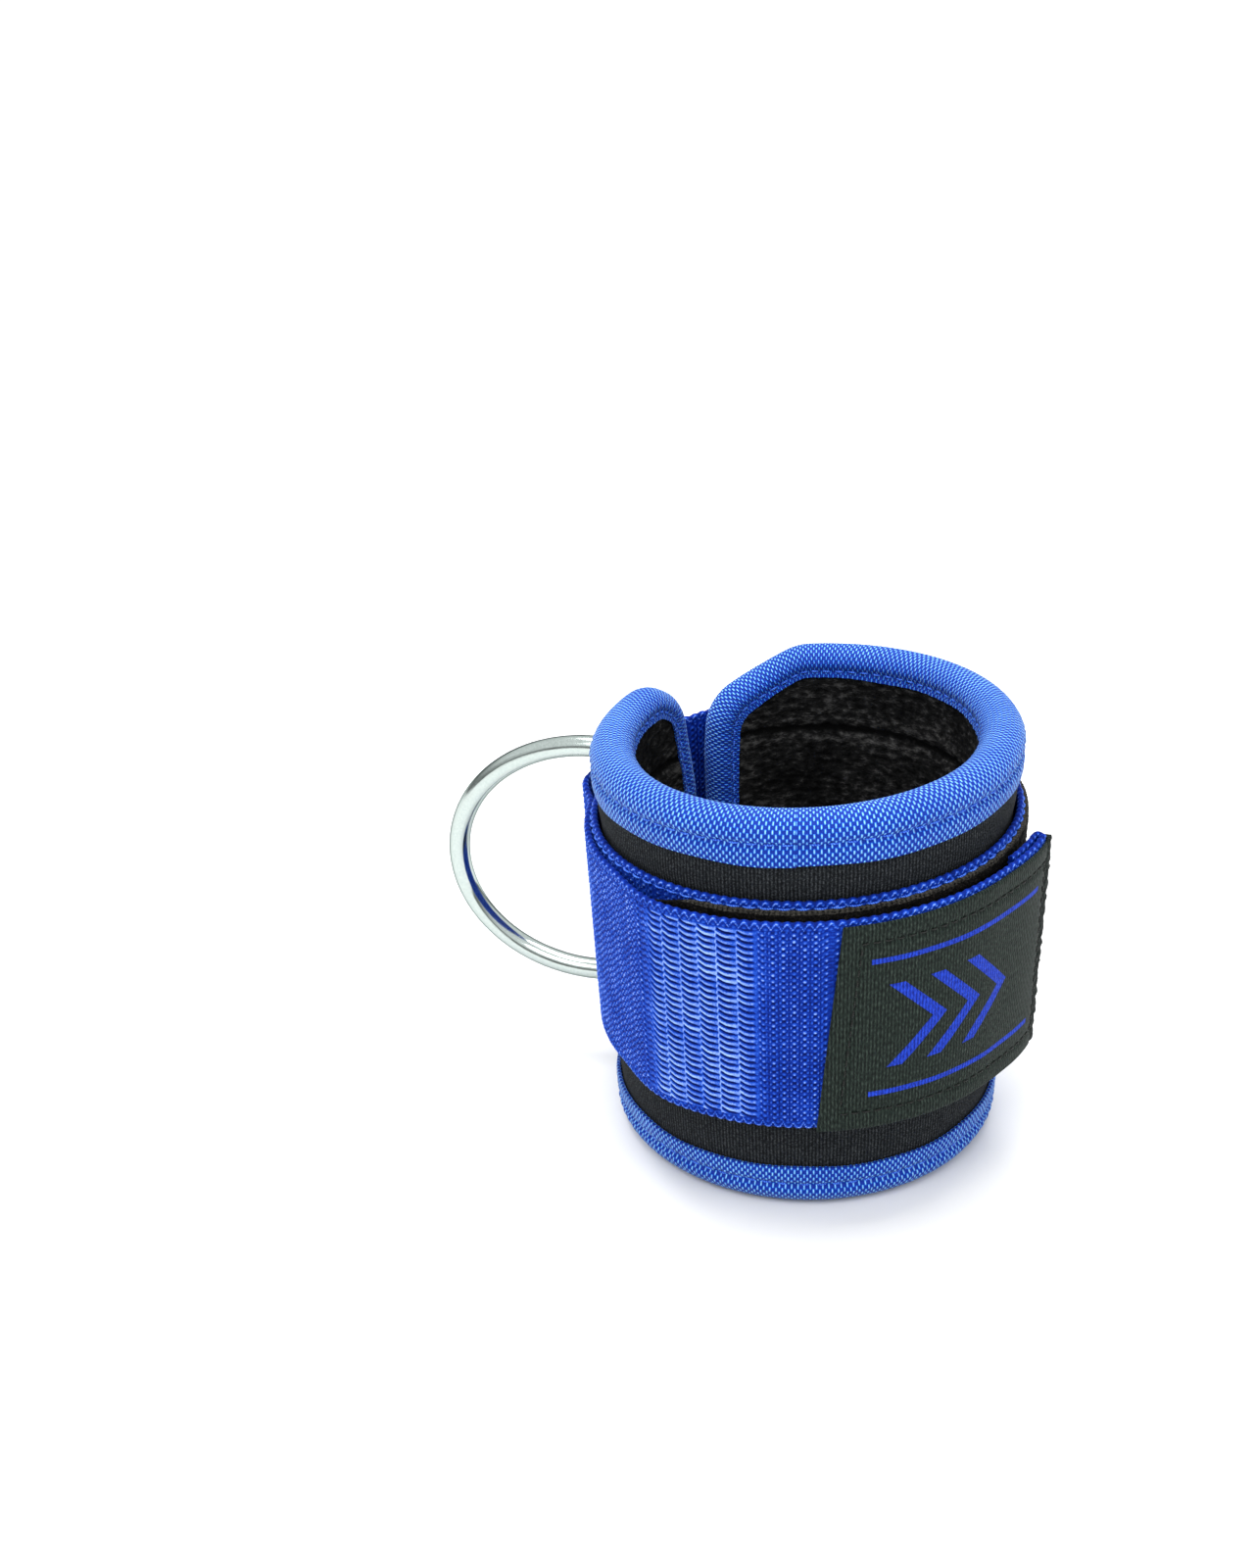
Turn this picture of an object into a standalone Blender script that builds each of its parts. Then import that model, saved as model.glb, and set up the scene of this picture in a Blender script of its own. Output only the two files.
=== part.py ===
"""Padded ankle cuff for cable exercises: a wrapped, edge-bound pad, a webbing strap sewn round it, a
steel D-ring on the strap and a hook-and-loop closure under a woven label.

The cuff stands on its lower edge. Every layer is described on the unrolled pad, by a plan angle
(degrees, anticlockwise from +X), a height and an offset from the middle of the wall, and wrap()
rolls it up. Angles run on past 360, so the webbing is one path: it starts at the front end of the
pad, goes once round it, leaves its back end and lies over its own start.
"""

import math

import bmesh
import bpy
from mathutils import Matrix, Vector

MM = 0.001

# Driving dimensions, in millimetres and degrees.
CUFF_CENTRE = (16.447, 2.395)  # the cuff's axis in plan, from the middle of the whole object
RIM_HEIGHT = 95.5              # top rim above the floor, on the cuff's axis
RIM_TILT = 0.045               # rise of the top rim for each millimetre to the right
TOP_RADIUS = 43.2              # to the middle of the wall, at the top rim
BOTTOM_RADIUS = 39.4
OVAL = 0.9                     # the plan is this much longer than round, front to back
FLAT_RADIUS = 41.5             # turns plan angles into lengths along the unrolled wall
FRONT_END = 130.0              # plan angle where the pad starts
BACK_END = 483.3               # plan angle where the pad ends, beside its start
# The ends' corners are cut off along straight lines: distances in from the end and from the rim.
CORNER_CUTS = {
    "front": ((12.0, 0.0), (3.0, 6.0), (0.0, 28.0)),
    "back": ((22.0, 0.0), (1.3, 10.5), (0.0, 24.0)),
}
CORNER_BEND = 12.0             # radius of the edge where two of those lines meet

# Layers of the wall: inner and outer face, as offsets from the middle of the wall.
LINING = (-4.0, -2.6)
FOAM = (-2.3, 2.3)
JERSEY = (2.6, 4.0)
LOOP_TAPE = (5.95, 7.1)
HOOK_TAPE = (7.4, 8.8)
SKIN_INSET = 6.2               # the lining and jersey stop this far inside the bound edge
FOAM_INSET = 3.6

BINDING_RADIUS = 4.7           # middle of the tape where it rolls over the edge
BINDING_TAPE = 0.7
BINDING_FLANGE = 10.5          # how far the tape reaches in from the edge on the outside
BINDING_INNER_FLANGE = 7.0     # and on the inside
ROLL_SEGMENTS = 5              # odd, so that the roll has a flat on the floor

WEBBING = 1.3                  # thickness of the webbing sewn round the pad
WEBBING_WIDTH = 50.0
# Height of its middle: it rises towards the gap, and drops again as the strap leaves the pad.
WEBBING_HEIGHTS = ((430, 52.2), (480, 55.2), (509, 50.0))
WEBBING_START = 133.0          # plan angle where it starts, just inside the pad's end
STRAP = 1.4                    # thickness of the free strap
STRAP_MIDDLE = 50.0
LABEL = 0.9
GAP = 0.3                      # clearance between pieces that touch

# Offset of the webbing's inner face. It climbs over the binding at both ends of the pad.
WEBBING_LIFT = ((130, 5.4), (147, 5.4), (152.5, 4.35), (452, 4.35), (462, 5.4), (483.3, 5.4))
# Offset of the free strap's inner face: off the pad, over the ring's bar, back against the
# webbing, over the two closure tapes, and slightly off at the tip.
STRAP_LIFT = ((483.3, 5.4), (489, 7.7), (509, 11.45), (518, 11.45), (535, 6.1), (571, 6.1),
              (597, 9.1), (680, 9.1), (703, 10.6))

# Where the soft layers bend: the pad opposite its gap, and the strap in three places.
CUFF_HINGE = 298.0
ROOT_HINGE = 483.6
MIDDLE_HINGE = 560.0
TIP_HINGE = 631.0
HINGE_GAP = 0.2                # half the gap at a bend, in degrees

LOOP_START = 227.0
LOOP_END = 420.0
LOOP_WIDTH = 45.5
HOOK_START = 634.0
HOOK_END = 677.0
HOOK_WIDTH = 44.0
HEM_START = 688.0
STRAP_END = 703.0
LABEL_START = 634.5
LABEL_END = 704.0
LABEL_HEIGHT = 49.2
LABEL_MIDDLE = 49.2            # the label sits low, so that the strap's upper edge shows above it
LABEL_STITCH_INSET = 4.0

RING_ANGLE = 516.0             # plan angle of the ring's straight bar
RING_WIRE = 5.0
RING_HEIGHT = 58.8             # between the middles of the two legs
RING_LIFT = 1.5                # the ring sits this far above the strap's middle
RING_LEG = 5.0                 # straight part of the legs, before the bow, halfway up
RING_BOW = 34.5                # reach of the bow from there
RING_SKEW = 0.08               # the bow droops: its upper side is set back, its lower side forward
RING_CORNER = 2.5
RING_TURN = 8.6                # the ring points this far from straight out, towards the back
RING_STEPS = 20                # segments of the bow
CORNER_STEPS = 3

THREAD = 0.6
STEP = 6.0                     # longest segment along the wrap, in degrees
STITCH_INSET = 1.6             # the webbing's stitch rows run this far inside its edges
STITCH_ROWS = {"front": (235, 297), "back": (299, 481)}
BOX_STITCH = (463.0, 480.5, 40.0)   # start, end and height of the stitched box at the strap's root

COLOURS = {                    # base colour, roughness, metallic
    "binding": ((0.022, 0.125, 0.78), 0.75, 0.0),
    "webbing": ((0.032, 0.080, 0.66), 0.70, 0.0),
    "foam": ((0.03, 0.03, 0.03), 0.95, 0.0),
    "jersey": ((0.011, 0.012, 0.012), 0.85, 0.0),
    "plush": ((0.008, 0.008, 0.009), 0.95, 0.0),
    "closure": ((0.010, 0.010, 0.011), 0.90, 0.0),
    "label": ((0.021, 0.027, 0.022), 0.70, 0.0),
    "thread": ((0.05, 0.10, 0.62), 0.60, 0.0),
    "label_thread": ((0.012, 0.014, 0.013), 0.60, 0.0),
    "steel": ((0.78, 0.80, 0.80), 0.12, 1.0),
}


def radius(angle, height):
    """Distance from the cuff's axis to the middle of its wall."""
    taper = (TOP_RADIUS - BOTTOM_RADIUS) / RIM_HEIGHT
    return BOTTOM_RADIUS + taper * height - OVAL * math.cos(math.radians(2 * angle))


def wrap(angle, height, offset):
    """The point in space, in metres, at a plan angle, a height and an offset from mid wall."""
    reach = radius(angle, height) + offset
    x = CUFF_CENTRE[0] + reach * math.cos(math.radians(angle))
    y = CUFF_CENTRE[1] + reach * math.sin(math.radians(angle))
    lift = 1 + RIM_TILT * reach * math.cos(math.radians(angle)) / RIM_HEIGHT
    return Vector((x, y, height * lift)) * MM


def smooth_steps(knots, angle):
    """Value at an angle of a line through knots, level at each of them."""
    if angle <= knots[0][0]:
        return knots[0][1]
    for (start, low), (end, high) in zip(knots, knots[1:]):
        if angle <= end:
            share = (angle - start) / (end - start)
            return low + (high - low) * share * share * (3 - 2 * share)
    return knots[-1][1]


def webbing_lift(angle):
    return smooth_steps(WEBBING_LIFT, angle)


def strap_lift(angle):
    return smooth_steps(STRAP_LIFT, angle)


def webbing_middle(angle):
    return smooth_steps(WEBBING_HEIGHTS, angle)


def hinge_line(angle, offset):
    """A point on the wall's slanting upright at an angle and an offset, and its direction."""
    low = wrap(angle, STRAP_MIDDLE - WEBBING_WIDTH / 2, offset)
    high = wrap(angle, STRAP_MIDDLE + WEBBING_WIDTH / 2, offset)
    return (low + high) / 2, (high - low).normalized()


def hinge_lines():
    """Name, point and direction of every joint's axis."""
    closure = LOOP_TAPE[1]
    strap_face = [strap_lift(angle) + STRAP for angle in (ROOT_HINGE, MIDDLE_HINGE, TIP_HINGE)]
    bar = webbing_lift(RING_ANGLE - 360) + WEBBING + 0.4 + RING_WIRE / 2
    return {
        "cuff_open": hinge_line(CUFF_HINGE, closure),
        "strap_root_swing": hinge_line(ROOT_HINGE, strap_face[0]),
        "strap_middle_peel": hinge_line(MIDDLE_HINGE, strap_face[1]),
        "strap_tip_peel": hinge_line(TIP_HINGE, strap_face[2]),
        "d_ring_swing": hinge_line(RING_ANGLE, bar),
    }


def clear_scene():
    for old in list(bpy.data.objects):
        bpy.data.objects.remove(old, do_unlink=True)


def make_material(name):
    colour, roughness, metallic = COLOURS[name]
    material = bpy.data.materials.new(name)
    material.use_nodes = True
    shader = material.node_tree.nodes["Principled BSDF"]
    shader.inputs["Base Color"].default_value = (*colour, 1.0)
    shader.inputs["Roughness"].default_value = roughness
    shader.inputs["Metallic"].default_value = metallic
    return material


def add_object(name, data, colour, joint):
    """Link a piece made in world coordinates, coloured, and parented to its joint's empty."""
    piece = bpy.data.objects.new(name, data)
    data.materials.append(bpy.data.materials[colour])
    bpy.data.collections["ankle_cuff"].objects.link(piece)
    if joint:
        empty = bpy.data.objects[joint]
        piece.parent = empty
        piece.matrix_parent_inverse = empty.matrix_basis.inverted()
        ancestor = empty.parent
        while ancestor:
            piece.matrix_parent_inverse = (
                piece.matrix_parent_inverse @ ancestor.matrix_basis.inverted())
            ancestor = ancestor.parent
    return piece


def add_solidify(piece, thickness):
    shell = piece.modifiers.new("thickness", "SOLIDIFY")
    shell.thickness = thickness * MM
    shell.offset = 0.0
    shell.use_even_offset = True


def grid_mesh(name, columns, rows, place):
    """A grid of faces whose corner in column i and row j is at place(i, j)."""
    shape = bmesh.new()
    bmesh.ops.create_grid(shape, x_segments=columns, y_segments=rows, size=0.5)
    for vertex in shape.verts:
        i = round((vertex.co.x + 0.5) * columns)
        j = round((vertex.co.y + 0.5) * rows)
        vertex.co = place(i, j)
    mesh = bpy.data.meshes.new(name)
    shape.to_mesh(mesh)
    shape.free()
    return mesh


def wrapped_band(name, span, face, thickness, limits, colour, joint):
    """A band wrapped from span[0] to span[1], with its inner face at face(angle) and its lower
    and upper edge at limits(angle)."""
    columns = math.ceil((span[1] - span[0]) / STEP)

    def place(i, j):
        angle = span[0] + (span[1] - span[0]) * i / columns
        return wrap(angle, limits(angle)[j], face(angle) + thickness / 2)

    piece = add_object(name, grid_mesh(name, columns, 1, place), colour, joint)
    add_solidify(piece, thickness)
    return piece


def level_band(middle, width):
    """Edges of a band of one width, about a height or a height that varies with the angle."""
    if callable(middle):
        return lambda angle: (middle(angle) - width / 2, middle(angle) + width / 2)
    return lambda angle: (middle - width / 2, middle + width / 2)


def pad_limits(inset):
    """Lower and upper edge of a pad layer that stops an inset inside the pad's outline."""
    def limits(angle):
        half, from_end = ("front", angle - FRONT_END) if angle < CUFF_HINGE else ("back", BACK_END - angle)
        along = math.radians(from_end) * FLAT_RADIUS
        edge = inset
        for (far, low), (near, high) in zip(CORNER_CUTS[half], CORNER_CUTS[half][1:]):
            slope = (high - low) / (far - near)
            edge = max(edge, low + slope * (far - along) + inset * math.hypot(1, slope))
        return (edge, RIM_HEIGHT - edge)
    return limits


def pad_spans(inset):
    """The front and back half of a pad layer, from its end to the pad's bend."""
    margin = math.degrees(inset / FLAT_RADIUS)
    return {
        "front": (FRONT_END + margin, CUFF_HINGE - HINGE_GAP),
        "back": (CUFF_HINGE + HINGE_GAP, BACK_END - margin),
    }


def pad_layer(name, faces, inset, colour):
    for half, span in pad_spans(inset).items():
        wrapped_band(f"{name}_{half}", span, lambda angle: faces[0], faces[1] - faces[0],
                     pad_limits(inset), colour, HALF_JOINT[half])


def rounded_path(corners, bend, steps):
    """A line through corners, with each inner corner turned into an arc."""
    path = [corners[0]]
    for before, corner, after in zip(corners, corners[1:], corners[2:]):
        back = (before - corner).normalized()
        ahead = (after - corner).normalized()
        half = back.angle(ahead) / 2
        centre = corner + (back + ahead).normalized() * bend / math.sin(half)
        start = corner + back * bend / math.tan(half) - centre
        turn = math.copysign(math.pi - 2 * half, ahead.cross(back))
        for i in range(steps + 1):
            path.append(centre + Matrix.Rotation(turn * i / steps, 2) @ start)
    path.append(corners[-1])
    return path


def subdivided(path, longest):
    points = [path[0]]
    for start, end in zip(path, path[1:]):
        parts = max(1, math.ceil((end - start).length / longest))
        points.extend(start.lerp(end, i / parts) for i in range(1, parts + 1))
    return points


def binding_profile():
    """Depth in from the bound edge and offset from mid wall, from the outer to the inner flange."""
    half_step = math.radians(90 / ROLL_SEGMENTS)
    middle = BINDING_RADIUS * math.cos(half_step) + BINDING_TAPE / 2
    profile = [(BINDING_FLANGE, BINDING_RADIUS)]
    for i in range(ROLL_SEGMENTS + 1):
        turn = math.pi * i / ROLL_SEGMENTS
        profile.append((middle - BINDING_RADIUS * math.sin(turn), BINDING_RADIUS * math.cos(turn)))
    profile.append((BINDING_INNER_FLANGE, -BINDING_RADIUS))
    return profile


def edge_binding(half):
    """The tape folded over the edge of one half of the pad: its top, its end and its bottom."""
    front = half == "front"
    end, sign = (FRONT_END, 1) if front else (BACK_END, -1)
    bend_angle = CUFF_HINGE - sign * HINGE_GAP
    length = math.radians(abs(bend_angle - end)) * FLAT_RADIUS
    upper = [Vector((length, RIM_HEIGHT))]
    upper += [Vector((along, RIM_HEIGHT - down)) for along, down in CORNER_CUTS[half]]
    corners = upper + [Vector((point.x, RIM_HEIGHT - point.y)) for point in reversed(upper)]
    path = rounded_path(corners, CORNER_BEND, CORNER_STEPS)
    path = subdivided(path, math.radians(STEP) * FLAT_RADIUS * 1.05)
    profile = binding_profile()

    def place(i, j):
        depth, offset = profile[j]
        before = (path[i] - path[max(i - 1, 0)]).normalized()
        after = (path[min(i + 1, len(path) - 1)] - path[i]).normalized()
        along = (before + after).normalized()
        inward = Vector((-along.y, along.x)) / max(along.dot(before), along.dot(after))
        point = path[i] + inward * depth
        return wrap(end + sign * math.degrees(point.x / FLAT_RADIUS), point.y, offset)

    name = f"edge_binding_{half}"
    mesh = grid_mesh(name, len(path) - 1, len(profile) - 1, place)
    add_solidify(add_object(name, mesh, "binding", HALF_JOINT[half]), BINDING_TAPE)


def thread(name, points, closed, colour, joint):
    """A run of stitching, as a thin round cord through points."""
    curve = bpy.data.curves.new(name, "CURVE")
    curve.dimensions = "3D"
    curve.bevel_depth = THREAD / 2 * MM
    curve.bevel_resolution = 0
    curve.use_fill_caps = not closed
    line = curve.splines.new("POLY")
    line.points.add(len(points) - 1)
    for point, place in zip(line.points, points):
        point.co = (*place, 1.0)
    line.use_cyclic_u = closed
    return add_object(name, curve, colour, joint)


def run_of_angles(start, end):
    steps = math.ceil(abs(end - start) / STEP)
    return [start + (end - start) * i / steps for i in range(steps + 1)]


def stitched_box(name, span, middle, height, face, colour, joint):
    """A rectangle of stitching wrapped on an outer face given by face(angle)."""
    low, high = middle - height / 2, middle + height / 2
    clear = GAP + THREAD * 0.7
    upper = [wrap(angle, high, face(angle) + clear) for angle in run_of_angles(*span)]
    lower = [wrap(angle, low, face(angle) + clear) for angle in run_of_angles(span[1], span[0])]
    thread(name, upper + lower, True, colour, joint)


def make_pad():
    pad_layer("foam_core", FOAM, FOAM_INSET, "foam")
    pad_layer("outer_jersey", JERSEY, SKIN_INSET, "jersey")
    pad_layer("plush_lining", LINING, SKIN_INSET, "plush")
    for half in HALF_JOINT:
        edge_binding(half)


def make_sewn_webbing():
    """The webbing sewn round the pad, its two stitch rows, and the loop tape on its face."""
    loop_face = LOOP_TAPE[1] - LOOP_TAPE[0]
    loop_spans = {"front": (LOOP_START, CUFF_HINGE - HINGE_GAP), "back": (CUFF_HINGE + HINGE_GAP, LOOP_END)}
    spans = {"front": (WEBBING_START, CUFF_HINGE - HINGE_GAP), "back": (CUFF_HINGE + HINGE_GAP, BACK_END)}
    for half, span in spans.items():
        joint = HALF_JOINT[half]
        wrapped_band(f"sewn_webbing_{half}", span, webbing_lift, WEBBING,
                     level_band(webbing_middle, WEBBING_WIDTH), "webbing", joint)
        wrapped_band(f"loop_tape_{half}", loop_spans[half], lambda angle: LOOP_TAPE[0], loop_face,
                     level_band(webbing_middle, LOOP_WIDTH), "closure", joint)
        for row, side in (("upper", 1), ("lower", -1)):
            rise = side * (WEBBING_WIDTH / 2 - STITCH_INSET / 2)
            clear = WEBBING + GAP + THREAD * 0.7
            points = [wrap(angle, webbing_middle(angle) + rise, webbing_lift(angle) + clear)
                      for angle in run_of_angles(*STITCH_ROWS[half])]
            thread(f"{row}_stitch_row_{half}", points, False, "thread", joint)


def make_strap():
    """The free strap in three lengths, with the fold, hook tape and label at its tip."""
    edges = level_band(webbing_middle, WEBBING_WIDTH)
    lengths = {
        "strap_root": (ROOT_HINGE, MIDDLE_HINGE, "strap_root_swing"),
        "strap_middle": (MIDDLE_HINGE, TIP_HINGE, "strap_middle_peel"),
        "strap_tip": (TIP_HINGE, STRAP_END + HINGE_GAP, "strap_tip_peel"),
    }
    for name, (start, end, joint) in lengths.items():
        wrapped_band(name, (start + HINGE_GAP, end - HINGE_GAP), strap_lift, STRAP, edges,
                     "webbing", joint)
    tip = "strap_tip_peel"
    wrapped_band("strap_end_hem", (HEM_START, STRAP_END), lambda angle: strap_lift(angle) - GAP - STRAP,
                 STRAP, edges, "webbing", tip)
    wrapped_band("hook_tape", (HOOK_START, HOOK_END), lambda angle: HOOK_TAPE[0],
                 HOOK_TAPE[1] - HOOK_TAPE[0], level_band(STRAP_MIDDLE, HOOK_WIDTH), "closure", tip)
    wrapped_band("label_patch", (LABEL_START, LABEL_END), lambda angle: strap_lift(angle) + STRAP + GAP,
                 LABEL, level_band(LABEL_MIDDLE, LABEL_HEIGHT), "label", tip)
    margin = math.degrees(LABEL_STITCH_INSET / FLAT_RADIUS)
    stitched_box("label_stitching", (LABEL_START + margin, LABEL_END - margin), LABEL_MIDDLE,
                 LABEL_HEIGHT - 2 * LABEL_STITCH_INSET,
                 lambda angle: strap_lift(angle) + STRAP + GAP + LABEL, "label_thread", tip)


def make_root_stitching():
    start, end, height = BOX_STITCH
    stitched_box("strap_root_stitching", (start, end), webbing_middle((start + end) / 2), height,
                 lambda angle: webbing_lift(angle) + WEBBING, "thread", HALF_JOINT["back"])


def make_d_ring():
    """A round wire bent to a straight bar, two short legs and a deep round bow."""
    point, upright = hinge_lines()["d_ring_swing"]
    outward = Vector((math.cos(math.radians(RING_ANGLE)), math.sin(math.radians(RING_ANGLE)), 0))
    outward = (outward - upright * outward.dot(upright)).normalized()
    outward = Matrix.Rotation(math.radians(RING_TURN), 3, upright) @ outward
    half = RING_HEIGHT / 2
    turns = [math.pi * i / RING_STEPS for i in range(RING_STEPS + 1)]
    bow = [Vector((RING_LEG + RING_BOW * math.sin(turn) - RING_SKEW * half * math.cos(turn),
                   half * math.cos(turn))) for turn in turns]
    corners = [bow[-1], Vector((0, -half)), Vector((0, half)), bow[0]]
    legs = rounded_path(corners, RING_CORNER, CORNER_STEPS)
    outline = bow + legs[1:-1]
    curve = bpy.data.curves.new("d_ring", "CURVE")
    curve.dimensions = "3D"
    curve.bevel_depth = RING_WIRE / 2 * MM
    curve.bevel_resolution = 4
    line = curve.splines.new("POLY")
    line.points.add(len(outline) - 1)
    for place, (reach, height) in zip(line.points, outline):
        place.co = (*(point + (outward * reach + upright * (height + RING_LIFT)) * MM), 1.0)
    line.use_cyclic_u = True
    add_object("d_ring", curve, "steel", "d_ring_swing")


def make_joint_empties():
    """One empty on each joint's axis, its +Z along the axis, parented as the joints are."""
    lines = hinge_lines()
    for name, parent in JOINT_PARENT.items():
        point, direction = lines[name]
        empty = bpy.data.objects.new(name, None)
        empty.empty_display_size = 10 * MM
        world = Matrix.Translation(point) @ direction.to_track_quat("Z", "Y").to_matrix().to_4x4()
        chain = Matrix.Identity(4)
        if parent:
            empty.parent = bpy.data.objects[parent]
            chain = joint_world(parent)
        empty.matrix_basis = chain.inverted() @ world
        bpy.data.collections["ankle_cuff"].objects.link(empty)


def joint_world(name):
    """World matrix of a joint's empty, from its chain of parents."""
    empty = bpy.data.objects[name]
    above = joint_world(empty.parent.name) if empty.parent else Matrix.Identity(4)
    return above @ empty.matrix_basis


HALF_JOINT = {"front": None, "back": "cuff_open"}
JOINT_PARENT = {
    "cuff_open": None,
    "strap_root_swing": "cuff_open",
    "strap_middle_peel": "strap_root_swing",
    "strap_tip_peel": "strap_middle_peel",
    "d_ring_swing": "strap_root_swing",
}


def main():
    clear_scene()
    bpy.context.scene.collection.children.link(bpy.data.collections.new("ankle_cuff"))
    for name in COLOURS:
        make_material(name)
    make_joint_empties()
    make_pad()
    make_sewn_webbing()
    make_strap()
    make_root_stitching()
    make_d_ring()


main()
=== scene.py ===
"""Looks of the padded ankle cuff: tape, webbing, plush, jersey, label and ring over the CAD frame.

Every fabric is drawn on the unrolled cuff, by a plan angle (degrees, anticlockwise from +X), a
height and an offset from the middle of the wall (millimetres, as in the CAD). wrap() rolls it up.
A surface is a grid of sections, each a closed loop of points, so that every piece is a closed body.
"""

import math
from functools import partialmethod

import bmesh
import bpy
import numpy as np
from mathutils import Matrix, Vector, noise


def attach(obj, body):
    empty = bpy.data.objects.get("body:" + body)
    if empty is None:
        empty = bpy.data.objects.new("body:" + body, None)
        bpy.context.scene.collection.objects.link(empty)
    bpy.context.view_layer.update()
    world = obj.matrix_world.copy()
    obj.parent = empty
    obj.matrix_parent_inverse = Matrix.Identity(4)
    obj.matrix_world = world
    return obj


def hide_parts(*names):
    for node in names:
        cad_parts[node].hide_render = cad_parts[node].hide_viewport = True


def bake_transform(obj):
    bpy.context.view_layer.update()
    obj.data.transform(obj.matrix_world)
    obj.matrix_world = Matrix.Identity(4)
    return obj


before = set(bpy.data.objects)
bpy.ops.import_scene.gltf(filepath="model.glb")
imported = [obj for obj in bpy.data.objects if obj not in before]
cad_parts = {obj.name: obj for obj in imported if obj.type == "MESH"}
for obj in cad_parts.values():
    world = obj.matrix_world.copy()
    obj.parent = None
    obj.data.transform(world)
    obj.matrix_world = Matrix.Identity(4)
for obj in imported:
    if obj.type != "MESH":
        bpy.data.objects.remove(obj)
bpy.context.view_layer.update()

MM = 0.001
DETAIL = 1.0

# The wall, as the CAD has it.
CUFF_CENTRE = (16.447, 2.395)
RIM_HEIGHT = 95.5
RIM_TILT = 0.045
TOP_RADIUS = 43.2
BOTTOM_RADIUS = 39.4
OVAL = 0.9
FLAT_RADIUS = 41.5
PATH_RADIUS = BOTTOM_RADIUS + 2.0       # of the wall's middle, half way up
FRONT_END = 130.0
BACK_END = 483.3
# The ends' corners are cut off along straight lines: distances in from the end and from the rim.
CORNER_CUTS = {
    "front": ((12.0, 0.0), (3.0, 6.0), (0.0, 28.0)),
    "back": ((22.0, 0.0), (1.3, 10.5), (0.0, 24.0)),
}
CORNER_BEND = 12.0

# Bends: the pad opposite its gap, and the strap in three places. Fabric turns over a zone at each.
PAD_BEND = (268.0, 328.0)
ROOT_BEND = (482.5, 496.0)
MIDDLE_BEND = (551.0, 569.0)
TIP_BEND = (621.0, 633.5)
BEND_MARGIN = 1.5               # degrees at each end of the pad's zone that hold still

BINDING_ROLL = 4.7              # radius of the folded tape's middle where it rolls over the edge
BINDING_TAPE = 0.7
BINDING_FLANGES = {"outer": 10.5, "inner": 6.3}     # how far the tape reaches in from the edge
GROOVES = {"outer": (5.9, 1.3), "inner": (4.9, 1.0)}    # depth in and depth of the stitched groove
GROOVE_WIDTH = 0.85
GROOVE_BULGES = ((-1.7, 0.14, 1.1), (1.7, 0.10, 1.0))   # beside the groove: place, height, width

# Stitches: pitch, length and thickness of the thread.
BINDING_STITCH = (3.2, 2.3, 0.5)
ROW_STITCH = (3.4, 2.6, 0.42)
BOX_STITCH = (3.2, 2.5, 0.42)
LABEL_STITCH = (2.4, 1.8, 0.4)

WEBBING_START = 133.0
WEBBING_HALF = 0.68             # half thickness
WEBBING_WIDTH = 50.0
WEBBING_HEIGHTS = ((430, 52.2), (480, 55.2), (509, 50.0))
STRAP_MIDDLE = 50.0
HEM_FOLD = 0.95                 # radius of the fold at the strap's end
WEBBING_LIFT = ((130, 5.4), (147, 5.4), (152.5, 4.35), (452, 4.35), (462, 5.4), (483.3, 5.4))
STRAP_LIFT = ((483.3, 5.4), (489, 7.7), (509, 11.45), (518, 11.45), (535, 6.1), (571, 6.1),
              (597, 9.1), (680, 9.1), (703, 10.6))
STRAP_END = 701.4               # where the end's fold starts
HEM_START = 688.0
LABEL_LEFT = (632.8, 638.2)     # plan angle of the label's left end, at its bottom and its top
LABEL_RIGHT = 704.3
LABEL_HEIGHT = 49.2
LABEL_MIDDLE = 49.2
LABEL_STITCH_INSET = 4.2
LABEL_LIP = 2.6                 # the label's right end is turned in over the strap's end
LOOP_SPAN = (227.0, 420.0)
LOOP_TUCK = (3.4, 18.0)         # depth of the tucked corner and degrees that it lasts
LOOP_WIDTH = 47.0
HOOK_SPAN = (634.0, 677.0)
HOOK_WIDTH = 44.0
ROW_INSET = 1.4                 # from the webbing's edge to its stitch rows
BOX_SEAM = (463.0, 480.5, 40.0)  # plan angles and height of the box at the strap's root

RING_ANGLE = 516.0
RING_OFFSET = 8.55
RING_WIRE = 5.0
RING_HEIGHT = 58.8
RING_LIFT = 1.5
RING_LEG = 5.0
RING_BOW = 34.5
RING_SKEW = 0.08
RING_CORNER = 2.5
RING_TURN = 8.6

LINING = (-4.0, -2.6)
FOAM = (-2.3, 2.3)
JERSEY = (2.6, 4.0)
LOOP_TAPE = (5.95, 7.1)
HOOK_TAPE = (7.4, 8.8)
SKIN_INSET = 6.2
LINING_INSET = 5.2
FOAM_INSET = 3.6
QUILTING = (76.4, 28.0)         # heights of the webbing's stitch rows, which show in the lining


# ---- shape helpers

def wrap(angle, height, offset):
    """Points in metres at plan angles, heights and offsets from mid wall."""
    taper = (TOP_RADIUS - BOTTOM_RADIUS) / RIM_HEIGHT
    turn = np.radians(angle)
    reach = BOTTOM_RADIUS + taper * height - OVAL * np.cos(2 * turn) + offset
    side = reach * np.cos(turn)
    lift = 1 + RIM_TILT * side / RIM_HEIGHT
    points = (CUFF_CENTRE[0] + side, CUFF_CENTRE[1] + reach * np.sin(turn), height * lift)
    return np.stack(np.broadcast_arrays(*points), axis=-1) * MM


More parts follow.
